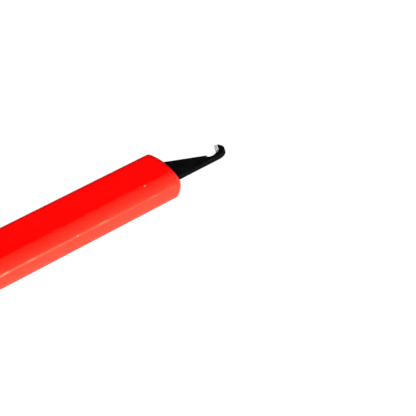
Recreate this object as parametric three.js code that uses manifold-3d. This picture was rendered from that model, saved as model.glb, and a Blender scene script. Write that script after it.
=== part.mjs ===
// Hook knife: a flat steel hook blade whose tang is pinned between two hollow moulded handle shells.
// Millimetres, +Z up. The knife lies flat: +X runs from the tail to the hook, and the throat of the
// hook opens towards +Y. The origin is at the centre of the footprint, on the surface it lies on.
import * as THREE from "three";
import { mergeVertices } from "three/addons/utils/BufferGeometryUtils.js";
import Module from "manifold-3d";

const wasm = await Module();
wasm.setup();

// Overall sizes
const OVERALL_LENGTH = 140;
const HANDLE_LENGTH = 118.6;
const HANDLE_THICKNESS = 12;
const GAP = 0.3;

// Outline of the handle at its mid-plane
const NOSE_WIDTH = 20.4;
const TAIL_WIDTH = 21.7;
const NOSE_BULGE = 1.0;
const NOSE_CORNER_RADIUS = 1.3;
const NOSE_CORNER_FADE = 0.3;
const SMALLEST_CORNER = 0.3;
const TAIL_CORNER_RADIUS = 8;

// How far the upper and lower edges of the handle are rounded in from that outline
const SIDE_ROUNDING = 1.5;
const END_ROUNDING = 3.05;
const DRAFT = 0.08;

// Inside of the shells
const WALL = 2;
const NOSE_WALL = 5;
const RIB_THICKNESS = 1.6;
const RIB_COUNT = 6;
const FIRST_RIB_X = -47;
const RIB_SPACING = 15.4;

// Pins, locating pegs and the hang hole
const PIN_RADIUS = 2;
const PIN_LENGTH = 7.2;
const PIN_BOSS_RADIUS = 4.4;
const FRONT_PIN_X = 36;
const REAR_PIN_X = 12;
const PEG_RADIUS = 1.6;
const PEG_HEIGHT = 2.5;
const PEG_BOSS_RADIUS = 3.6;
const PEG_POSITIONS_X = [-12, -40];
const HANG_HOLE_RADIUS = 3.2;
const HANG_HOLE_X = -61;

// Blade
const BLADE_THICKNESS = 1.6;
const SPINE_Y = -6.9;
const ROOT_Y = 7.8;
const ROOT_LENGTH = 4;
const ROOT_INSET = 0.4;
const TANG_LENGTH = 45;
const TANG_HALF_WIDTH = 5.2;
const TANG_CORNER_RADIUS = 2;
const THROAT_RADIUS = 2.5;
const THROAT_SETBACK = 5.6;
const THROAT_Y = -1.1;
const HOOK_RADIUS = 4.8;
const BEAK_LEAN = THREE.MathUtils.degToRad(20);
const BEAK_LENGTH = 4.25;
const GRIND_WIDTH = 1.3;
const EDGE_LAND = 0.2;

// Places that follow from the sizes above
const HOOK_X = OVERALL_LENGTH / 2;
const TAIL_X = -HOOK_X;
const NOSE_X = TAIL_X + HANDLE_LENGTH;
const MID_Z = HANDLE_THICKNESS / 2;
const TANG_REAR_X = NOSE_X - TANG_LENGTH;
const SHOULDER_X = NOSE_X - ROOT_LENGTH;
const PIN_POSITIONS = [
  ["tang_pin_front", FRONT_PIN_X],
  ["tang_pin_rear", REAR_PIN_X],
];

// Detail of the curved surfaces
const END_STEPS = 24;
const EDGE_STEPS = 7;
const CORNER_STEPS = 6;
const ARC_STEPS = 12;
const ROUND_STEPS = 32;

const moulding = new THREE.MeshStandardMaterial({ color: 0xf00505, roughness: 0.35, metalness: 0 });
const blackSteel = new THREE.MeshStandardMaterial({ color: 0x0b0b0c, roughness: 0.5, metalness: 0.4 });
const plainSteel = new THREE.MeshStandardMaterial({ color: 0xb9bcc0, roughness: 0.3, metalness: 1 });

// A closed geometry as a solid that can be joined and cut.
function solid(geometry) {
  const bare = geometry.clone();
  bare.deleteAttribute("normal");
  bare.deleteAttribute("uv");
  const merged = mergeVertices(bare, 1e-4);
  const vertProperties = merged.attributes.position.array;
  const triVerts = new Uint32Array(merged.index.array);
  return new wasm.Manifold(new wasm.Mesh({ numProp: 3, vertProperties, triVerts }));
}

// The faces of a solid as a geometry.
function geometryOf(shape) {
  const faces = shape.getMesh();
  const geometry = new THREE.BufferGeometry();
  geometry.setAttribute("position", new THREE.BufferAttribute(faces.vertProperties, 3));
  geometry.setIndex(new THREE.BufferAttribute(faces.triVerts, 1));
  geometry.computeVertexNormals();
  return geometry;
}

// A solid as a named mesh.
function part(name, shape, material) {
  const mesh = new THREE.Mesh(geometryOf(shape), material);
  mesh.name = name;
  return mesh;
}

// A box between two corners.
function block(low, high) {
  const size = high.map((value, axis) => value - low[axis]);
  const middle = high.map((value, axis) => (value + low[axis]) / 2);
  return new THREE.BoxGeometry(...size).translate(...middle);
}

// An upright round post on the handle's centre line.
function post(x, radius, bottom, top) {
  const cylinder = new THREE.CylinderGeometry(radius, radius, top - bottom, ROUND_STEPS);
  return cylinder.rotateX(Math.PI / 2).translate(x, 0, (bottom + top) / 2);
}

// A solid geometry through a stack of outlines that all have the same number of points.
function stack(levels) {
  const count = levels[0].points.length;
  const positions = levels.flatMap(({ points, z }) => points.flatMap(({ x, y }) => [x, y, z]));
  const cap = THREE.ShapeUtils.triangulateShape(levels[0].points, []);
  const top = (levels.length - 1) * count;
  const index = cap.flatMap(([a, b, c]) => [c, b, a, top + a, top + b, top + c]);
  for (let ring = 0; ring < top; ring += count) {
    for (let i = 0; i < count; i += 1) {
      const next = (i + 1) % count;
      index.push(ring + i, ring + next, ring + count + next);
      index.push(ring + i, ring + count + next, ring + count + i);
    }
  }
  const geometry = new THREE.BufferGeometry();
  geometry.setAttribute("position", new THREE.Float32BufferAttribute(positions, 3));
  geometry.setIndex(index);
  return geometry;
}

// Outline of the handle, drawn in from the mid-plane outline by `side` at its sides and tail and by
// `end` at its nose: a shallow crown with small corners in front, larger round corners behind.
function handleOutline(side, end) {
  const noseHalf = NOSE_WIDTH / 2 - side;
  const tailHalf = TAIL_WIDTH / 2 - side;
  const corner = Math.max(NOSE_CORNER_RADIUS - NOSE_CORNER_FADE * side, SMALLEST_CORNER);
  const tailCorner = TAIL_CORNER_RADIUS - side;
  const points = [];
  for (let i = 0; i <= END_STEPS; i += 1) {
    const y = noseHalf * Math.sin(Math.PI * (i / END_STEPS - 0.5));
    const past = Math.max(Math.abs(y) - (noseHalf - corner), 0);
    const crown = NOSE_BULGE * (y / noseHalf) ** 2;
    const turn = corner - Math.sqrt(Math.max(corner ** 2 - past ** 2, 0));
    points.push(new THREE.Vector2(NOSE_X - end - crown - turn, y));
  }
  for (const edge of [1, -1]) {
    for (let i = 0; i <= CORNER_STEPS; i += 1) {
      const share = edge > 0 ? i / CORNER_STEPS : 1 - i / CORNER_STEPS;
      const angle = (Math.PI / 2) * (1 + share);
      const x = TAIL_X + side + tailCorner + tailCorner * Math.cos(angle);
      const y = tailHalf - tailCorner + tailCorner * Math.sin(angle);
      points.push(new THREE.Vector2(x, edge * y));
    }
  }
  return points;
}

// The handle's outline at a height above the mid-plane, `wall` inside the outer surface.
function handleLevel(height, wall, noseWall) {
  const fall = 1 - Math.sqrt(Math.max(1 - (height / MID_Z) ** 2, 0));
  const side = SIDE_ROUNDING * fall + DRAFT * height + wall;
  const end = END_ROUNDING * fall + DRAFT * height + noseWall;
  return { points: handleOutline(side, end), z: MID_Z + height };
}

// Levels from the seam to `top`, closer together where the surface turns over.
function handleHalf(top, wall, noseWall) {
  const first = Math.asin(GAP / 2 / MID_Z);
  const last = Math.asin(top / MID_Z);
  const levels = [];
  for (let i = 0; i <= EDGE_STEPS; i += 1) {
    const angle = first + ((last - first) * i) / EDGE_STEPS;
    levels.push(handleLevel(MID_Z * Math.sin(angle), wall, noseWall));
  }
  return solid(stack(levels));
}

// Upper half of the handle before the tang, pins and pegs are cut into it: a tray with a thick nose,
// cross ribs, and round bosses for the pins, the pegs and the hang hole.
function shellBlank() {
  const outer = handleHalf(MID_Z, 0, 0);
  const floor = MID_Z + GAP / 2;
  const ceiling = HANDLE_THICKNESS - WALL / 2;
  let inside = solid(post(HANG_HOLE_X, HANG_HOLE_RADIUS + WALL, floor, ceiling));
  for (const [, x] of PIN_POSITIONS) {
    inside = inside.add(solid(post(x, PIN_BOSS_RADIUS, floor, ceiling)));
  }
  for (const x of PEG_POSITIONS_X) {
    inside = inside.add(solid(post(x, PEG_BOSS_RADIUS, floor, ceiling)));
  }
  for (let i = 0; i < RIB_COUNT; i += 1) {
    const x = FIRST_RIB_X + i * RIB_SPACING;
    const low = [x - RIB_THICKNESS / 2, -TAIL_WIDTH, floor];
    const high = [x + RIB_THICKNESS / 2, TAIL_WIDTH, ceiling];
    inside = inside.add(solid(block(low, high)));
  }
  const cavity = handleHalf(MID_Z - WALL, WALL, NOSE_WALL);
  return outer.subtract(cavity).add(inside.intersect(outer));
}

// Everything that both shells leave free: the blade's seat, the pins and the hang hole.
function shellCuts() {
  const depth = BLADE_THICKNESS / 2 + GAP;
  const tangLow = [TANG_REAR_X - GAP, -TANG_HALF_WIDTH - GAP, MID_Z - depth];
  const tangHigh = [NOSE_X, TANG_HALF_WIDTH + GAP, MID_Z + depth];
  const rootLow = [SHOULDER_X - GAP, SPINE_Y - GAP, MID_Z - depth];
  const rootHigh = [HOOK_X, ROOT_Y + GAP, MID_Z + depth];
  const hangHole = post(HANG_HOLE_X, HANG_HOLE_RADIUS, -GAP, HANDLE_THICKNESS + GAP);
  let cuts = solid(block(tangLow, tangHigh)).add(solid(block(rootLow, rootHigh)));
  cuts = cuts.add(solid(hangHole));
  for (const [, x] of PIN_POSITIONS) {
    const reach = PIN_LENGTH / 2 + GAP;
    cuts = cuts.add(solid(post(x, PIN_RADIUS + GAP, MID_Z - reach, MID_Z + reach)));
  }
  return cuts;
}

function upperShell() {
  let shell = shellBlank().subtract(shellCuts());
  for (const x of PEG_POSITIONS_X) {
    shell = shell.subtract(solid(post(x, PEG_RADIUS + GAP, MID_Z, MID_Z + PEG_HEIGHT + GAP)));
  }
  return part("handle_upper_shell", shell, moulding);
}

// The lower shell is the same moulding turned over, with pegs that stand into the upper shell.
function lowerShell() {
  const blank = geometryOf(shellBlank()).rotateX(Math.PI).translate(0, 0, HANDLE_THICKNESS);
  let shell = solid(blank).subtract(shellCuts());
  for (const x of PEG_POSITIONS_X) {
    shell = shell.add(solid(post(x, PEG_RADIUS, WALL, MID_Z + PEG_HEIGHT)));
  }
  return part("handle_lower_shell", shell, moulding);
}

// The point where a line from `from` touches a circle; `turn` is 1 or -1 for its two sides.
function touchPoint(from, centre, radius, turn) {
  const away = from.clone().sub(centre);
  const angle = away.angle() + turn * Math.acos(radius / away.length());
  return { angle, at: onCircle(centre, radius, angle) };
}

function onCircle(centre, radius, angle) {
  return new THREE.Vector2(Math.cos(angle), Math.sin(angle)).multiplyScalar(radius).add(centre);
}

// The curves of the hook: the far edge slopes into the round throat, the cutting edge goes on round
// the throat and up the leaning beak to its tip, and the back of the hook runs round to the spine.
function hookCurves() {
  const root = new THREE.Vector2(NOSE_X - ROOT_INSET, ROOT_Y);
  const throat = new THREE.Vector2(HOOK_X - THROAT_SETBACK, THROAT_Y);
  const hook = new THREE.Vector2(HOOK_X - HOOK_RADIUS, SPINE_Y + HOOK_RADIUS);
  const entry = touchPoint(root, throat, THROAT_RADIUS, 1);
  const beakFoot = onCircle(throat, THROAT_RADIUS, -BEAK_LEAN);
  const beakLine = new THREE.Vector2(Math.sin(BEAK_LEAN), Math.cos(BEAK_LEAN));
  const tip = beakLine.clone().multiplyScalar(BEAK_LENGTH).add(beakFoot);
  const back = touchPoint(tip, hook, HOOK_RADIUS, -1);
  return { root, throat, hook, entry, beakLine, tip, back };
}

function bladeShape() {
  const { root, throat, hook, entry, tip, back } = hookCurves();
  const rear = TANG_REAR_X + TANG_CORNER_RADIUS;
  const cornerY = TANG_HALF_WIDTH - TANG_CORNER_RADIUS;
  const shape = new THREE.Shape();
  shape.moveTo(SHOULDER_X, SPINE_Y);
  shape.lineTo(SHOULDER_X, -TANG_HALF_WIDTH);
  shape.absarc(rear, -cornerY, TANG_CORNER_RADIUS, -Math.PI / 2, -Math.PI, true);
  shape.absarc(rear, cornerY, TANG_CORNER_RADIUS, Math.PI, Math.PI / 2, true);
  shape.lineTo(SHOULDER_X, TANG_HALF_WIDTH);
  shape.lineTo(SHOULDER_X, ROOT_Y);
  shape.lineTo(root.x, root.y);
  shape.absarc(throat.x, throat.y, THROAT_RADIUS, entry.angle, -BEAK_LEAN, false);
  shape.lineTo(tip.x, tip.y);
  shape.absarc(hook.x, hook.y, HOOK_RADIUS, back.angle, -Math.PI / 2, true);
  for (const [, x] of PIN_POSITIONS) {
    const hole = new THREE.Path();
    hole.absarc(x, 0, PIN_RADIUS + GAP, 0, 2 * Math.PI, false);
    shape.holes.push(hole);
  }
  return shape;
}

// The wedge of air in front of the cutting edge. It grows by the grind's width towards each face of
// the blade, so taking it away leaves the edge ground from both sides.
function grindCut() {
  const { throat, entry, beakLine, tip } = hookCurves();
  const past = tip.clone().addScaledVector(beakLine, GRIND_WIDTH);
  const shape = new THREE.Shape();
  shape.moveTo(throat.x, throat.y);
  shape.absarc(throat.x, throat.y, THROAT_RADIUS, entry.angle, -BEAK_LEAN, false);
  shape.lineTo(past.x, past.y);
  const height = (BLADE_THICKNESS - EDGE_LAND) / 2;
  const settings = { depth: HANDLE_THICKNESS, bevelThickness: height, bevelSize: GRIND_WIDTH };
  return new THREE.ExtrudeGeometry(shape, { ...settings, bevelSegments: 1, curveSegments: ARC_STEPS });
}

function blade() {
  const settings = { depth: BLADE_THICKNESS, bevelEnabled: false, curveSegments: ARC_STEPS };
  const plate = new THREE.ExtrudeGeometry(bladeShape(), settings);
  plate.translate(0, 0, MID_Z - BLADE_THICKNESS / 2);
  const upperGrind = grindCut().translate(0, 0, MID_Z + BLADE_THICKNESS / 2);
  const lowerGrind = grindCut().translate(0, 0, MID_Z - BLADE_THICKNESS / 2 - HANDLE_THICKNESS);
  const ground = solid(plate).subtract(solid(upperGrind)).subtract(solid(lowerGrind));
  return part("blade", ground, blackSteel);
}

function tangPin(name, x) {
  const bottom = MID_Z - PIN_LENGTH / 2;
  return part(name, solid(post(x, PIN_RADIUS, bottom, bottom + PIN_LENGTH)), plainSteel);
}

const hookKnife = new THREE.Group();
hookKnife.add(blade(), upperShell(), lowerShell());
for (const [name, x] of PIN_POSITIONS) {
  hookKnife.add(tangPin(name, x));
}

export default hookKnife;
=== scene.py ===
"""Looks of a hook knife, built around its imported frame. Metres; +X runs to the hook and +Z is up."""

import math

import bmesh
import bpy
from mathutils import Matrix, Vector


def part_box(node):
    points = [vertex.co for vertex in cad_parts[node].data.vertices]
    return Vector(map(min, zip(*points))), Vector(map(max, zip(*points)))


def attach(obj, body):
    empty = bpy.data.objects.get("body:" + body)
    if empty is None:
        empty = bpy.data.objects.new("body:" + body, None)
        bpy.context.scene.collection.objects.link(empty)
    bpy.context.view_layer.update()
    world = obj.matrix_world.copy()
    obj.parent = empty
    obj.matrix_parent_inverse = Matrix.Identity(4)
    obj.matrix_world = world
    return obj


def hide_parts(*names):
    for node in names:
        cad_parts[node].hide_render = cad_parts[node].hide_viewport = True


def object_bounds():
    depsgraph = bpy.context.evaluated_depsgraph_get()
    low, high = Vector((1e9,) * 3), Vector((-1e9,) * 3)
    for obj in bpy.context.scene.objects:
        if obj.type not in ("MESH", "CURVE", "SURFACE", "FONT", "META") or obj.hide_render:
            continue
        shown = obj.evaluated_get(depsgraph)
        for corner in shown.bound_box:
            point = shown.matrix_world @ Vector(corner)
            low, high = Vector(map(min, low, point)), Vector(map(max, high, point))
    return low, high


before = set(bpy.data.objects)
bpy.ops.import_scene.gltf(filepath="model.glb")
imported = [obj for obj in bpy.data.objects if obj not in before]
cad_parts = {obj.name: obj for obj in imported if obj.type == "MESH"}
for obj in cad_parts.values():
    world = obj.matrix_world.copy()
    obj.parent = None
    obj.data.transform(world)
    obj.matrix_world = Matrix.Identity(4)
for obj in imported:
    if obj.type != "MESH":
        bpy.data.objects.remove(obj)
cad_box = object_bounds()
MM = 0.001

# Places read from the frame
tail_x, hook_x = cad_box[0].x, cad_box[1].x
blade_low, blade_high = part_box("blade")
mid_z = (blade_low.z + blade_high.z) / 2
half_thickness = cad_box[1].z - mid_z


def pin_shape(node):
    """A pin's place along X, its radius, and the heights of its ends."""
    low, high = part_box(node)
    return (low.x + high.x) / 2, (high.x - low.x) / 2, low.z, high.z


pins = {node: pin_shape(node) for node in ("tang_pin_front", "tang_pin_rear")}

# Handle
HANDLE_LENGTH = 118.6 * MM
NOSE_WIDTH = 20.4 * MM
TAIL_WIDTH = 21.7 * MM
NOSE_BULGE = 1.0 * MM
NOSE_CORNER_RADIUS = 1.3 * MM
NOSE_CORNER_FADE = 0.3  # how much smaller the nose's corners get for each millimetre of inset
SMALLEST_CORNER = 0.3 * MM
TAIL_CORNER_RADIUS = 8 * MM
SIDE_ROUNDING = 1.3 * MM
END_ROUNDING = 3.05 * MM
SHOULDER_WIDTH = 3.0 * MM
SHOULDER_DROP = 0.8 * MM
DRAFT = 0.08
SEAM_GAP = 0.06 * MM
SEAM_LIP = 0.09 * MM
WALL = 2 * MM
NOSE_WALL = 5 * MM
RIB_THICKNESS = 1.6 * MM
RIB_COUNT = 6
RIB_SPACING = 15.4 * MM
FIRST_RIB_X = -47 * MM
CEILING_COVER = 0.75 * WALL
RIB_END_COVER = 0.7 * WALL
BOSS_WALL = 2 * MM
PEG_RADIUS = 1.6 * MM
PEG_HEIGHT = 2.5 * MM
PEG_POSITIONS_X = (-12 * MM, -40 * MM)
HANG_HOLE_RADIUS = 3.2 * MM
HANG_HOLE_RIM = 0.7 * MM
HANG_HOLE_X = -61 * MM
SEAT_GAP = 0.05 * MM
HANDLE_CREASE = 40  # degrees, as are the other creases

# Blade
ROOT_LENGTH = 4 * MM
ROOT_INSET = 0.4 * MM
TANG_HALF_WIDTH = 5.2 * MM
TANG_CORNER_RADIUS = 2 * MM
THROAT_RADIUS = 2.5 * MM
THROAT_SETBACK = 5.6 * MM
THROAT_Y = -1.1 * MM
HOOK_RADIUS = 4.8 * MM
BEAK_LEAN = math.radians(20)
BEAK_LENGTH = 4.25 * MM
GRIND_WIDTH = 1.3 * MM
GRIND_HOLLOW = 0.8  # exponent of the ground face's curve; 1 is a flat bevel
GRIND_RUN_BACK = 0.35  # share of the grind's width by which it runs past the throat's mouth
GRIND_OVERRUN = 3 * GRIND_WIDTH
GRIND_FLARE = 1.5 * GRIND_WIDTH
EDGE_LAND = 0.04 * MM
PLATE_EDGE = 0.13 * MM
BLADE_CREASE = 25
PIN_CHAMFER = 0.4 * MM
PIN_CREASE = 30

nose_x = tail_x + HANDLE_LENGTH
shoulder_x = nose_x - ROOT_LENGTH
spine_y, root_y = blade_low.y, blade_high.y
half_blade = (blade_high.z - blade_low.z) / 2

# Detail of the curved surfaces
NOSE_STEPS = 36
SIDE_STEPS = 24
CORNER_STEPS = 16
EDGE_STEPS = 22
LIP_STEPS = 5
HOLE_RIM_STEPS = 10
ROUND_STEPS = 64
ARC_STEPS = 40
TANG_CORNER_STEPS = 8
GRIND_STEPS = 10
BISECTIONS = 40


# ---------------------------------------------------------------- mesh helpers

def new_object(name, mesh, materials=()):
    piece = bpy.data.objects.new(name, mesh)
    bpy.context.scene.collection.objects.link(piece)
    for material in materials:
        mesh.materials.append(material)
    return piece


def mesh_from(bm, name):
    bmesh.ops.recalc_face_normals(bm, faces=bm.faces)
    mesh = bpy.data.meshes.new(name)
    bm.to_mesh(mesh)
    bm.free()
    return mesh


def ring(bm, points, z):
    return [bm.verts.new((x, y, z)) for x, y in points]


def bridge(bm, first, second):
    count = len(first)
    for i in range(count):
        j = (i + 1) % count
        bm.faces.new((first[i], first[j], second[j], second[i]))


def prism(bm, levels, material_index=0):
    """A closed solid through rings of (points, z), with flat ends."""
    rings = [ring(bm, points, z) for points, z in levels]
    for first, second in zip(rings, rings[1:]):
        bridge(bm, first, second)
    faces = [bm.faces.new(rings[0]), bm.faces.new(rings[-1])]
    for face in {f for r in rings for v in r for f in v.link_faces}:
        face.material_index = material_index
    return faces


def block(bm, low, high):
    corners = [(low[0], low[1]), (high[0], low[1]), (high[0], high[1]), (low[0], high[1])]
    prism(bm, [(corners, low[2]), (corners, high[2])])


def circle(x, y, radius, steps=ROUND_STEPS):
    angles = [2 * math.pi * i / steps for i in range(steps)]
    return [(x + radius * math.cos(a), y + radius * math.sin(a)) for a in angles]


def post(bm, x, radius, bottom, top):
    prism(bm, [(circle(x, 0, radius), bottom), (circle(x, 0, radius), top)])


def boolean(piece, operation, bm, overlapping=True):
    """Joins or cuts the piece with the solids in bm, which may overlap, and keeps the result."""
    tool = new_object("tool", mesh_from(bm, "tool"))
    modifier = piece.modifiers.new("cut", "BOOLEAN")
    modifier.operation = operation
    modifier.solver = "EXACT"
    modifier.use_self = overlapping
    modifier.material_mode = "INDEX"
    modifier.object = tool
    apply_modifiers(piece)
    bpy.data.objects.remove(tool)


def apply_modifiers(piece):
    graph = bpy.context.evaluated_depsgraph_get()
    mesh = bpy.data.meshes.new_from_object(piece.evaluated_get(graph))
    piece.modifiers.clear()
    piece.data = mesh


def smooth(piece, crease):
    """Smooth shading, with faces that meet at more than the crease angle, in degrees, left crisp."""
    piece.data.shade_smooth()
    piece.data.set_sharp_from_angle(angle=math.radians(crease))
    modifier = piece.modifiers.new("normals", "WEIGHTED_NORMAL")
    modifier.keep_sharp = True
    modifier.weight = 100
    apply_modifiers(piece)


# ---------------------------------------------------------------- handle

def handle_outline(side, end):
    """Points of the handle's outline, drawn in by `side` at the sides and tail and `end` at the nose.

    The first half runs from the middle of the nose along +Y to the middle of the tail. The second half is
    its mirror image, so that point i and point -i lie across from each other."""
    nose_half = NOSE_WIDTH / 2 - side
    tail_half = TAIL_WIDTH / 2 - side
    corner = max(NOSE_CORNER_RADIUS - NOSE_CORNER_FADE * side, SMALLEST_CORNER)
    tail_corner = TAIL_CORNER_RADIUS - side
    half = []
    for i in range(NOSE_STEPS + 1):
        y = nose_half * math.sin(math.pi / 2 * i / NOSE_STEPS)
        past = max(y - (nose_half - corner), 0)
        crown = NOSE_BULGE * (y / nose_half) ** 2
        turn = corner - math.sqrt(max(corner ** 2 - past ** 2, 0))
        half.append((nose_x - end - crown - turn, y))
    start_x = half[-1][0]
    stop_x = tail_x + side + tail_corner
    for i in range(1, SIDE_STEPS):
        share = i / SIDE_STEPS
        half.append((start_x + share * (stop_x - start_x), nose_half + share * (tail_half - nose_half)))
    for i in range(CORNER_STEPS + 1):
        angle = math.pi / 2 * (1 + i / CORNER_STEPS)
        x = stop_x + tail_corner * math.cos(angle)
        half.append((x, tail_half - tail_corner + tail_corner * math.sin(angle)))
    half.append((tail_x + side, 0))
    return half + [(x, -y) for x, y in half[-2:0:-1]]


def oval_inset(height, rounding):
    """How far the drafted oval flank has come in at a height from the mid-plane."""
    level = math.sqrt(max(1 - (height / half_thickness) ** 2, 0))
    return rounding * (1 - level) + DRAFT * height


def shoulder_start():
    """Where the flank runs into the oval shoulder round the flat face.

    Gives the height from the mid-plane and the inset of the shoulder's centre. The slopes of the flank and
    the shoulder are equal there."""
    centre = half_thickness - SHOULDER_DROP
    low, high = centre, centre + 0.99 * SHOULDER_DROP
    for _ in range(BISECTIONS):
        height = (low + high) / 2
        level = math.sqrt(1 - (height / half_thickness) ** 2)
        flank_slope = DRAFT + SIDE_ROUNDING * height / (half_thickness ** 2 * level)
        turn = math.acos((height - centre) / SHOULDER_DROP)
        if SHOULDER_WIDTH / SHOULDER_DROP / math.tan(turn) < flank_slope:
            low = height
        else:
            high = height
    return height, oval_inset(height, SIDE_ROUNDING) + SHOULDER_WIDTH * math.sin(turn)


shoulder_height, shoulder_inset = shoulder_start()


def side_inset(height):
    """How far the side has come in at a height from the mid-plane: drafted flank, then shoulder."""
    if height < shoulder_height:
        return oval_inset(height, SIDE_ROUNDING)
    rise = (height - (half_thickness - SHOULDER_DROP)) / SHOULDER_DROP
    return shoulder_inset - SHOULDER_WIDTH * math.sqrt(max(1 - rise ** 2, 0))


def handle_level(height, lip, wall, nose_wall):
    """The handle's outline at a height from the mid-plane, as (points, height)."""
    side = side_inset(height) + lip + wall
    end = oval_inset(height, END_ROUNDING) + lip + nose_wall
    return handle_outline(side, end), height


def rising_levels(bottom, top, wall, nose_wall):
    """Levels from bottom to top, closer together where the section curves more."""
    first = math.asin(bottom / half_thickness)
    last = math.asin(min(top / half_thickness, 1))
    angles = [first + (last - first) * i / EDGE_STEPS for i in range(EDGE_STEPS + 1)]
    return [handle_level(half_thickness * math.sin(a), 0, wall, nose_wall) for a in angles]


def ladder(bm, verts):
    """A flat end across a ring whose points i and -i lie across from each other."""
    count = len(verts)
    for i in range(count // 2):
        corners = (verts[i], verts[i + 1], verts[-i - 1], verts[-i])
        bm.faces.new(tuple(dict.fromkeys(corners)))


def shell_tray():
    """The hollow half above the mid-plane, as a bmesh with z measured from the mid-plane."""
    bm = bmesh.new()
    bottom = SEAM_GAP / 2
    outer = []
    for i in range(LIP_STEPS):
        angle = math.pi / 2 * i / LIP_STEPS
        height = bottom + SEAM_LIP * (1 - math.cos(angle))
        outer.append(handle_level(height, SEAM_LIP * (1 - math.sin(angle)), 0, 0))
    outer += rising_levels(bottom + SEAM_LIP, half_thickness, 0, 0)
    inner = rising_levels(bottom, half_thickness - WALL, WALL, NOSE_WALL)
    outer_rings = [ring(bm, points, z) for points, z in outer]
    inner_rings = [ring(bm, points, z) for points, z in inner]
    for rings in (outer_rings, inner_rings):
        for first, second in zip(rings, rings[1:]):
            bridge(bm, first, second)
        ladder(bm, rings[-1])
    bridge(bm, outer_rings[0], inner_rings[0])
    return bm


def inside_detail():
    """Ribs and bosses, standing from the shell's ceiling to the seam, z from the mid-plane."""
    bm = bmesh.new()
    bottom = SEAM_GAP / 2
    top = half_thickness - CEILING_COVER
    half_width = NOSE_WIDTH / 2 - RIB_END_COVER
    for i in range(RIB_COUNT):
        x = FIRST_RIB_X + i * RIB_SPACING
        rear, front = x - RIB_THICKNESS / 2, x + RIB_THICKNESS / 2
        block(bm, (rear, -half_width, bottom), (front, half_width, top))
    post(bm, HANG_HOLE_X, HANG_HOLE_RADIUS + BOSS_WALL, bottom, top)
    for x in PEG_POSITIONS_X:
        post(bm, x, PEG_RADIUS + BOSS_WALL, bottom, top)
    for x, radius, _, _ in pins.values():
        post(bm, x, radius + BOSS_WALL, bottom, top)
    return bm


def hang_hole(bm, direction):
    """The hang hole's bore through one half, flared where it meets the flat face."""
    levels = [(circle(HANG_HOLE_X, 0, HANG_HOLE_RADIUS), -direction * WALL)]
    for i in range(HOLE_RIM_STEPS + 1):
        angle = math.pi / 2 * i / HOLE_RIM_STEPS
        radius = HANG_HOLE_RADIUS + HANG_HOLE_RIM * (1 - math.cos(angle))
        height = half_thickness - HANG_HOLE_RIM * (1 - math.sin(angle))
        levels.append((circle(HANG_HOLE_X, 0, radius), direction * height))
    widest = levels[-1][0]
    levels.append((widest, direction * (half_thickness + WALL)))
    prism(bm, levels)


def seat_cuts(direction):
    """What one half leaves free for the blade, the pins and the hang hole, z from the mid-plane."""
    bm = bmesh.new()
    reach = half_blade + SEAT_GAP
    tang_y = TANG_HALF_WIDTH + SEAT_GAP
    block(bm, (blade_low.x - SEAT_GAP, -tang_y, -reach), (nose_x, tang_y, reach))
    root_start = (shoulder_x - SEAT_GAP, spine_y - SEAT_GAP, -reach)
    block(bm, root_start, (hook_x, root_y + SEAT_GAP, reach))
    for x, radius, _, pin_top in pins.values():
        length = pin_top - mid_z + SEAT_GAP
        post(bm, x, radius + SEAT_GAP, -length, length)
    hang_hole(bm, direction)
    return bm


def handle_half(name, node, direction, material):
    """One moulded half. The direction is 1 for the upper half and -1 for the lower, which has the pegs."""
    flip = Matrix.Diagonal((1, 1, direction, 1))
    tray, detail = shell_tray(), inside_detail()
    for bm in (tray, detail):
        bm.transform(flip)
    half = new_object(name, mesh_from(tray, name), [material])
    boolean(half, "UNION", detail)
    boolean(half, "DIFFERENCE", seat_cuts(direction))
    pegs = bmesh.new()
    growth = 0 if direction < 0 else SEAT_GAP
    for x in PEG_POSITIONS_X:
        post(pegs, x, PEG_RADIUS + growth, -WALL, PEG_HEIGHT + growth)
    boolean(half, "UNION" if direction < 0 else "DIFFERENCE", pegs)
    half.data.transform(Matrix.Translation((0, 0, mid_z)))
    smooth(half, HANDLE_CREASE)
    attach(half, "root")
    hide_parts(node)


# ---------------------------------------------------------------- blade

def on_circle(centre, radius, angle):
    return centre + radius * Vector((math.cos(angle), math.sin(angle)))


def touch_angle(point, centre, radius, turn):
    """Angle on the circle where the line from the point touches it; turn picks the side."""
    away = point - centre
    return math.atan2(away.y, away.x) + turn * math.acos(radius / away.length)


def arc(centre, radius, start, stop, steps=ARC_STEPS):
    angles = [start + (stop - start) * i / steps for i in range(steps + 1)]
    return [tuple(on_circle(centre, radius, a)) for a in angles]


root_corner = Vector((nose_x - ROOT_INSET, root_y))
throat = Vector((hook_x - THROAT_SETBACK, THROAT_Y))
hook_centre = Vector((hook_x - HOOK_RADIUS, spine_y + HOOK_RADIUS))
beak_line = Vector((math.sin(BEAK_LEAN), math.cos(BEAK_LEAN)))
beak_tip = on_circle(throat, THROAT_RADIUS, -BEAK_LEAN) + BEAK_LENGTH * beak_line
entry_angle = touch_angle(root_corner, throat, THROAT_RADIUS, 1) - 2 * math.pi


def plate_outline():
    """The blade and tang before the throat is cut: the throat is still filled straight across."""
    rear = blade_low.x + TANG_CORNER_RADIUS
    corner_y = TANG_HALF_WIDTH - TANG_CORNER_RADIUS
    back_angle = touch_angle(beak_tip, hook_centre, HOOK_RADIUS, -1)
    points = [(shoulder_x, spine_y), (shoulder_x, -TANG_HALF_WIDTH)]
    for side, start, stop in ((-1, -math.pi / 2, -math.pi), (1, math.pi, math.pi / 2)):
        centre = Vector((rear, side * corner_y))
        points += arc(centre, TANG_CORNER_RADIUS, start, stop, TANG_CORNER_STEPS)
    points += [(shoulder_x, TANG_HALF_WIDTH), (shoulder_x, root_y), tuple(root_corner)]
    points += [tuple(on_circle(throat, THROAT_RADIUS, entry_angle)), tuple(beak_tip)]
    points += arc(hook_centre, HOOK_RADIUS, back_angle, -math.pi / 2)
    return points


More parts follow.
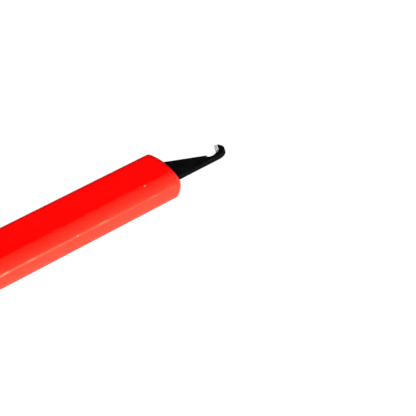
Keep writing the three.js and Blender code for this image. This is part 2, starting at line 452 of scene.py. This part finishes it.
def throat_outline(grind):
    """The air in front of the cutting edge, widened by the grind."""
    start = entry_angle - GRIND_RUN_BACK * grind / THROAT_RADIUS
    points = [tuple(throat)]
    points += arc(throat, THROAT_RADIUS + grind, start, -BEAK_LEAN)
    foot = Vector(points[-1])
    points.append(tuple(foot + (BEAK_LENGTH + GRIND_OVERRUN) * beak_line))
    return points


def throat_cut():
    """The throat and the hollow grind on both faces of its edge, as one cutting solid.

    The last ring is flared and stands clear of the plate, so that the solid cuts right through it."""
    bm = bmesh.new()
    rise = []
    for i in range(GRIND_STEPS + 1):
        share = i / GRIND_STEPS
        height = EDGE_LAND / 2 + share * (half_blade - EDGE_LAND / 2)
        rise.append((height, GRIND_WIDTH * share ** GRIND_HOLLOW))
    rise.append((2 * half_blade, GRIND_FLARE))
    levels = [(throat_outline(g), mid_z - h) for h, g in reversed(rise)]
    levels += [(throat_outline(g), mid_z + h) for h, g in rise]
    prism(bm, levels, material_index=1)
    return bm


def hook_blade(coated, ground):
    """The coated plate with its tang, its ground throat and its pin holes."""
    bm = bmesh.new()
    outline = plate_outline()
    ends = prism(bm, [(outline, blade_low.z), (outline, blade_high.z)])
    bmesh.ops.recalc_face_normals(bm, faces=bm.faces)
    edges = list({edge for face in ends for edge in face.edges})
    bmesh.ops.bevel(bm, geom=edges, offset=PLATE_EDGE, segments=3, profile=0.5, affect="EDGES")
    blade = new_object("hook_blade", mesh_from(bm, "hook_blade"), [coated, ground])
    boolean(blade, "DIFFERENCE", throat_cut(), overlapping=False)
    holes = bmesh.new()
    for x, radius, pin_bottom, pin_top in pins.values():
        post(holes, x, radius + SEAT_GAP, pin_bottom, pin_top)
    boolean(blade, "DIFFERENCE", holes, overlapping=False)
    smooth(blade, BLADE_CREASE)
    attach(blade, "root")
    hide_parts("blade")
    return blade


def tang_pin(node, material):
    """A dowel with chamfered ends."""
    x, radius, bottom, top = pins[node]
    end, body = circle(x, 0, radius - PIN_CHAMFER), circle(x, 0, radius)
    levels = [(end, bottom), (body, bottom + PIN_CHAMFER), (body, top - PIN_CHAMFER), (end, top)]
    bm = bmesh.new()
    prism(bm, levels)
    pin = new_object(node + "_dowel", mesh_from(bm, node), [material])
    smooth(pin, PIN_CREASE)
    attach(pin, "root")
    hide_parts(node)


# ---------------------------------------------------------------- materials

# Red plastic
DEEP_RED = (0.90, 0.0004, 0.0006, 1)
BRIGHT_RED = (0.97, 0.0010, 0.0008, 1)
RUBBED_RED = (1.0, 0.008, 0.005, 1)
# painted highlight colour for the parting line
SEAM_HIGHLIGHT_RED = (1.0, 0.20, 0.12, 1)
MARK_RED = (1.0, 0.35, 0.28, 1)
PLASTIC_SHEEN = (1.0, 0.93, 0.46, 1)
PLASTIC_GRAIN = 0.006 * MM
SCRATCH_DEPTH = 0.01 * MM
SEAM_LINE = 0.6 * MM  # half-width of the painted highlight line
SEAM_CORE = 0.3  # share of it that has its full colour
SEAM_FADE_START_X = -20 * MM
NICK_CORE = 0.4  # share of a nick's radius that has its full colour
NICKS = [
    ((6.0 * MM, -10.3 * MM, 6.1 * MM), 0.55 * MM),
    ((34.7 * MM, -9.4 * MM, 11.0 * MM), 0.45 * MM),
    ((46.6 * MM, -8.5 * MM, 6.0 * MM), 0.5 * MM),
]

# Steels
DARK_COAT = (0.0006, 0.0006, 0.0007, 1)
LIGHT_COAT = (0.0020, 0.0020, 0.0022, 1)
WORN_COAT = (0.12, 0.12, 0.125, 1)
COAT_GRAIN = 0.004 * MM
DARK_GRIND = (0.52, 0.53, 0.55, 1)
LIGHT_GRIND = (0.80, 0.81, 0.82, 1)
STAINED_GRIND = (0.34, 0.33, 0.33, 1)
GRIND_LINE_DENSITY = 60.0  # for each radian round the throat
GRIND_LINE_WANDER = 300.0  # for each metre through the plate
GRIND_DEPTH = 0.006 * MM
DARK_PIN = (0.50, 0.50, 0.52, 1)
LIGHT_PIN = (0.66, 0.66, 0.67, 1)
PIN_GRAIN = 0.003 * MM


class Shader:
    """A node material under construction. Values given to a node are numbers or other sockets."""

    def __init__(self, name):
        self.material = bpy.data.materials.new(name)
        self.material.use_nodes = True
        self.tree = self.material.node_tree
        self.surface = self.tree.nodes["Principled BSDF"]
        self.place = self.add("ShaderNodeTexCoord").outputs["Object"]
        self.normal = self.add("ShaderNodeTexCoord").outputs["Normal"]

    def add(self, kind, settings=None, **inputs):
        node = self.tree.nodes.new(kind)
        for key, value in (settings or {}).items():
            setattr(node, key, value)
        for key, value in inputs.items():
            self.put(node, key.replace("_", " "), value)
        return node

    def put(self, node, socket, value):
        """Sets or links an input, which is named or, as a string of digits, numbered."""
        target = node.inputs[int(socket)] if socket.isdigit() else node.inputs[socket]
        if isinstance(value, bpy.types.NodeSocket):
            self.tree.links.new(value, target)
        else:
            target.default_value = value

    def math(self, operation, a, b=0.0, c=0.0):
        node = self.add("ShaderNodeMath", {"operation": operation})
        for index, value in enumerate((a, b, c)):
            self.put(node, str(index), value)
        return node.outputs[0]

    def stretched(self, scale, turn=0.0):
        """The place, scaled along each axis and turned round Z by the turn, in degrees."""
        angle = (0.0, 0.0, math.radians(turn))
        return self.add("ShaderNodeMapping", Vector=self.place, Scale=scale, Rotation=angle).outputs[0]

    def noise(self, scale, detail=2.0, vector=None, roughness=0.5):
        vector = vector or self.place
        settings = {"Scale": scale, "Detail": detail, "Roughness": roughness}
        return self.add("ShaderNodeTexNoise", Vector=vector, **settings).outputs["Fac"]

    def step(self, value, low, high, out_low=0.0, out_high=1.0):
        """Smooth change from out_low to out_high as the value goes from low to high."""
        ends = {"From_Min": low, "From_Max": high, "To_Min": out_low, "To_Max": out_high}
        smooth_step = {"interpolation_type": "SMOOTHSTEP"}
        return self.add("ShaderNodeMapRange", smooth_step, Value=value, **ends).outputs[0]

    def mix(self, share, a, b):
        node = self.add("ShaderNodeMix", {"data_type": "RGBA"})
        self.put(node, "0", share)
        self.put(node, "6", a)
        self.put(node, "7", b)
        return node.outputs[2]

    def spot(self, place, radius):
        """1 at the place, fading to 0 at the radius."""
        node = self.add("ShaderNodeVectorMath", {"operation": "DISTANCE"})
        self.put(node, "0", self.place)
        self.put(node, "1", place)
        return self.step(node.outputs["Value"], NICK_CORE * radius, radius, 1.0, 0.0)

    def axis(self, vector, name):
        return self.add("ShaderNodeSeparateXYZ", Vector=vector).outputs[name]

    def times(self, a, b):
        return self.math("MULTIPLY", a, b)

    def rounded_edge(self, start, full, fade, end):
        """1 on rounded edges, where the normal's rise lies between a side's and a flat face's."""
        rise = self.math("ABSOLUTE", self.axis(self.normal, "Z"))
        return self.times(self.step(rise, start, full), self.step(rise, fade, end, 1.0, 0.0))

    def bump(self, height, depth, before=None):
        node = self.add("ShaderNodeBump", Height=height, Distance=depth, Strength=1.0)
        if before is not None:
            self.put(node, "Normal", before)
        return node.outputs[0]

    def finish(self, **inputs):
        for key, value in inputs.items():
            self.put(self.surface, key.replace("_", " "), value)
        return self.material


def seam_wear(s):
    """A painted highlight along the parting line: patchy, and fainter towards the nose."""
    from_seam = s.math("ABSOLUTE", s.math("SUBTRACT", s.axis(s.place, "Z"), mid_z))
    line = s.step(from_seam, SEAM_CORE * SEAM_LINE, SEAM_LINE, 1.0, 0.0)
    patches = s.step(s.noise(1.0, 4.0, s.stretched((190, 400, 400))), 0.5, 0.78, 0.2, 0.8)
    fade = s.step(s.axis(s.place, "X"), SEAM_FADE_START_X, nose_x, 1.0, 0.4)
    return s.times(line, s.times(patches, fade))


def red_plastic():
    """Satin moulded plastic: fine grain, faint flow marks, scuffs, nicks and a painted highlight along the
    parting line.
    """
    s = Shader("red_plastic")
    flow = s.noise(1.0, 3.0, s.stretched((35, 90, 90)))
    patches = s.noise(140, 2.0)
    scratch_a = s.noise(1.0, 1.0, s.stretched((90, 5200, 5200), 12))
    scratch_b = s.noise(1.0, 1.0, s.stretched((140, 4300, 4300), -27))
    scratches = s.math("MAXIMUM", s.step(scratch_a, 0.70, 0.78), s.step(scratch_b, 0.72, 0.80))
    scratches = s.times(scratches, s.step(patches, 0.5, 0.62))
    specks = s.times(s.step(s.noise(1500, 1.0), 0.76, 0.80), s.step(patches, 0.52, 0.6))
    for place, radius in NICKS:
        specks = s.math("MAXIMUM", specks, s.spot(place, radius))
    marks = s.math("MAXIMUM", specks, s.times(scratches, 0.15))
    rubbed = s.times(s.rounded_edge(0.35, 0.7, 0.8, 0.98), s.step(patches, 0.42, 0.62))

    colour = s.mix(s.step(flow, 0.3, 0.7), DEEP_RED, BRIGHT_RED)
    colour = s.mix(s.times(rubbed, 0.25), colour, RUBBED_RED)
    # painted highlight: a pale line along the parting line
    colour = s.mix(seam_wear(s), colour, SEAM_HIGHLIGHT_RED)
    colour = s.mix(s.times(marks, 0.3), colour, MARK_RED)

    rough = s.step(flow, 0.25, 0.75, 0.33, 0.39)
    rough = s.math("ADD", rough, s.times(scratches, 0.2))
    rough = s.math("SUBTRACT", rough, s.times(rubbed, 0.06))
    normal = s.bump(s.noise(2600, 2.0), PLASTIC_GRAIN)
    return s.finish(
        Base_Color=colour,
        Roughness=rough,
        Normal=s.bump(scratches, -SCRATCH_DEPTH, normal),
        IOR=1.65,
        Specular_Tint=PLASTIC_SHEEN,
    )


def black_steel():
    """Black coating on rolled plate: fine lengthwise scratches, rubbed through along the plate's edges."""
    s = Shader("black_steel")
    drawn = s.noise(1.0, 2.0, s.stretched((160, 7000, 7000), 4))
    cloud = s.noise(260, 4.0)
    worn = s.times(s.rounded_edge(0.2, 0.45, 0.8, 0.97), s.step(s.noise(900, 3.0), 0.5, 0.66))
    colour = s.mix(s.step(cloud, 0.3, 0.7), DARK_COAT, LIGHT_COAT)
    rough = s.step(cloud, 0.3, 0.7, 0.44, 0.58)
    normal = s.bump(s.noise(3000, 3.0), COAT_GRAIN)
    return s.finish(
        Base_Color=s.mix(s.times(worn, 0.35), colour, WORN_COAT),
        Roughness=s.math("SUBTRACT", rough, s.times(s.step(drawn, 0.55, 0.75), 0.1)),
        Metallic=s.times(worn, 0.8),
        Normal=s.bump(drawn, COAT_GRAIN, normal),
        IOR=1.45,
        Specular_IOR_Level=0.05,
    )


def ground_steel():
    """Bright ground edge: fine lines that the wheel left, running across the edge."""
    s = Shader("ground_steel")
    centred = s.add("ShaderNodeVectorMath", {"operation": "SUBTRACT"})
    s.put(centred, "0", s.place)
    s.put(centred, "1", (throat.x, throat.y, mid_z))
    parts = s.add("ShaderNodeSeparateXYZ", Vector=centred.outputs[0]).outputs
    around = s.times(s.math("ARCTAN2", parts["Y"], parts["X"]), GRIND_LINE_DENSITY)
    up = s.times(parts["Z"], GRIND_LINE_WANDER)
    lines = s.noise(1.0, 4.0, s.add("ShaderNodeCombineXYZ", X=around, Z=up).outputs[0], 0.7)
    stain = s.step(s.noise(900, 3.0), 0.55, 0.75, 0.0, 0.35)
    colour = s.mix(s.step(lines, 0.3, 0.7), DARK_GRIND, LIGHT_GRIND)
    return s.finish(
        Base_Color=s.mix(stain, colour, STAINED_GRIND),
        Roughness=s.step(lines, 0.25, 0.75, 0.2, 0.36),
        Normal=s.bump(lines, GRIND_DEPTH),
        Metallic=1.0,
    )


def pin_steel():
    """Plain centreless-ground dowel steel."""
    s = Shader("pin_steel")
    turned = s.noise(1.0, 3.0, s.stretched((300, 300, 9000)))
    return s.finish(
        Base_Color=s.mix(s.step(turned, 0.3, 0.7), DARK_PIN, LIGHT_PIN),
        Roughness=s.step(turned, 0.3, 0.7, 0.22, 0.34),
        Normal=s.bump(turned, PIN_GRAIN),
        Metallic=1.0,
    )


# ---------------------------------------------------------------- studio

# Angles are (azimuth, elevation) in degrees, with azimuth 0 towards -Y.
FLOOR_SIZE = 4.0
FLOOR_GLOW = 0.95
FLOOR_COLOUR = 0.1
FLOOR_DROP = 0.02 * MM
ROOM_LIGHT = 0.02
CARD_GLOW = 1.8
CARD_LENGTH = 0.6
CARD_FRONT = 19 * MM
CARD_BACK = 11 * MM
CARD_STEP = 3 * MM
KEY_ANGLES = (-10, 26)
KEY_DISTANCE = 1.1
KEY_SIZE = 0.7
KEY_POWER = 37
BLADE_LIGHT_ANGLES = ((-155.5, 30), (100, 35), (-65, 55))
BLADE_LIGHT_DISTANCE = 1.2
BLADE_LIGHT_SIZE = 0.5
BLADE_LIGHT_POWER = 9
VIEW_CENTRE = Vector((53.9, -11.7, -7.9)) * MM
VIEW_DISTANCE = 400.8 * MM
VIEW_ANGLES = (-20.26, 31.74)
VIEW_ROLL = math.radians(-16.87)
LENS_MM = 96.2
WHITE = (1, 1, 1, 1)


def glowing_sheet(name, bm, colour, glow):
    """A flat matt sheet that is lit from within."""
    sheet = new_object(name, mesh_from(bm, name))
    material = bpy.data.materials.new(name + "_sheet")
    material.use_nodes = True
    surface = material.node_tree.nodes["Principled BSDF"].inputs
    surface["Base Color"].default_value = (colour, colour, colour, 1)
    surface["Specular IOR Level"].default_value = 0
    surface["Emission Color"].default_value = WHITE
    surface["Emission Strength"].default_value = glow
    sheet.data.materials.append(material)
    return sheet


def floor():
    """The pale floor, which glows so that it shows hardly any shadow and stays out of reflections."""
    bm = bmesh.new()
    bmesh.ops.create_grid(bm, x_segments=1, y_segments=1, size=FLOOR_SIZE / 2)
    sheet = glowing_sheet("floor", bm, FLOOR_COLOUR, FLOOR_GLOW)
    sheet.location.z = cad_box[0].z - FLOOR_DROP
    sheet.visible_glossy = False


def card():
    """A white card that shows only as the pale reflection along the handle's sides.

    It is cut away under and behind the blade, so that the far part of the nose's rim stays dark."""
    bm = bmesh.new()
    front, back = cad_box[0].y - CARD_FRONT, cad_box[1].y + CARD_BACK
    half = CARD_LENGTH / 2
    step_x, step_y = nose_x - CARD_STEP, spine_y
    corners = [(-half, front), (half, front), (half, step_y)]
    corners += [(step_x, step_y), (step_x, back), (-half, back)]
    bm.faces.new(ring(bm, corners, cad_box[0].z - FLOOR_DROP / 2))
    sheet = glowing_sheet("card", bm, 0, CARD_GLOW)
    sheet.visible_camera = False
    sheet.visible_diffuse = False
    sheet.visible_shadow = False


def sky():
    """A dim even room, so that only the card and the blade's lights show in reflections."""
    world = bpy.data.worlds.new("studio")
    bpy.context.scene.world = world
    world.use_nodes = True
    light = world.node_tree.nodes["Background"].inputs
    light["Color"].default_value = WHITE
    light["Strength"].default_value = ROOM_LIGHT


def direction(azimuth, elevation):
    """Unit vector towards a viewer or light."""
    turn, rise = math.radians(azimuth), math.radians(elevation)
    level = math.cos(rise)
    return Vector((math.sin(turn) * level, -math.cos(turn) * level, math.sin(rise)))


def disk_light(name, place, size, power):
    """A round soft light, aimed at the middle of the knife."""
    data = bpy.data.lights.new(name, "AREA")
    data.shape = "DISK"
    data.size = size
    data.energy = power
    light = bpy.data.objects.new(name, data)
    light.location = place
    middle = (cad_box[0] + cad_box[1]) / 2
    light.rotation_euler = (place - middle).to_track_quat("Z", "Y").to_euler()
    bpy.context.scene.collection.objects.link(light)
    return light


def lights(blade):
    """A soft key without a mirror image of itself, and lights that only glint on the blade."""
    key = disk_light("key", KEY_DISTANCE * direction(*KEY_ANGLES), KEY_SIZE, KEY_POWER)
    key.visible_glossy = False
    lit = bpy.data.collections.new("lit_by_blade_lights")
    lit.objects.link(blade)
    for number, angles in enumerate(BLADE_LIGHT_ANGLES):
        place = BLADE_LIGHT_DISTANCE * direction(*angles)
        light = disk_light(f"blade_light_{number}", place, BLADE_LIGHT_SIZE, BLADE_LIGHT_POWER)
        light.visible_diffuse = False
        light.light_linking.receiver_collection = lit


def camera():
    """The photographer's eye, with the picture turned by the roll."""
    data = bpy.data.cameras.new("camera")
    data.lens = LENS_MM
    data.clip_start = 0.01
    back = direction(*VIEW_ANGLES)
    seen_from = bpy.data.objects.new("camera", data)
    turn = back.to_track_quat("Z", "Y") @ Matrix.Rotation(VIEW_ROLL, 3, "Z").to_quaternion()
    seen_from.rotation_euler = turn.to_euler()
    seen_from.location = VIEW_CENTRE + VIEW_DISTANCE * back
    bpy.context.scene.collection.objects.link(seen_from)
    bpy.context.scene.camera = seen_from


plastic = red_plastic()
handle_half("handle_upper", "handle_upper_shell", 1, plastic)
handle_half("handle_lower", "handle_lower_shell", -1, plastic)
blade = hook_blade(black_steel(), ground_steel())
steel = pin_steel()
for node in pins:
    tang_pin(node, steel)

floor()
card()
sky()
lights(blade)
camera()
bpy.context.scene.view_settings.view_transform = "Standard"
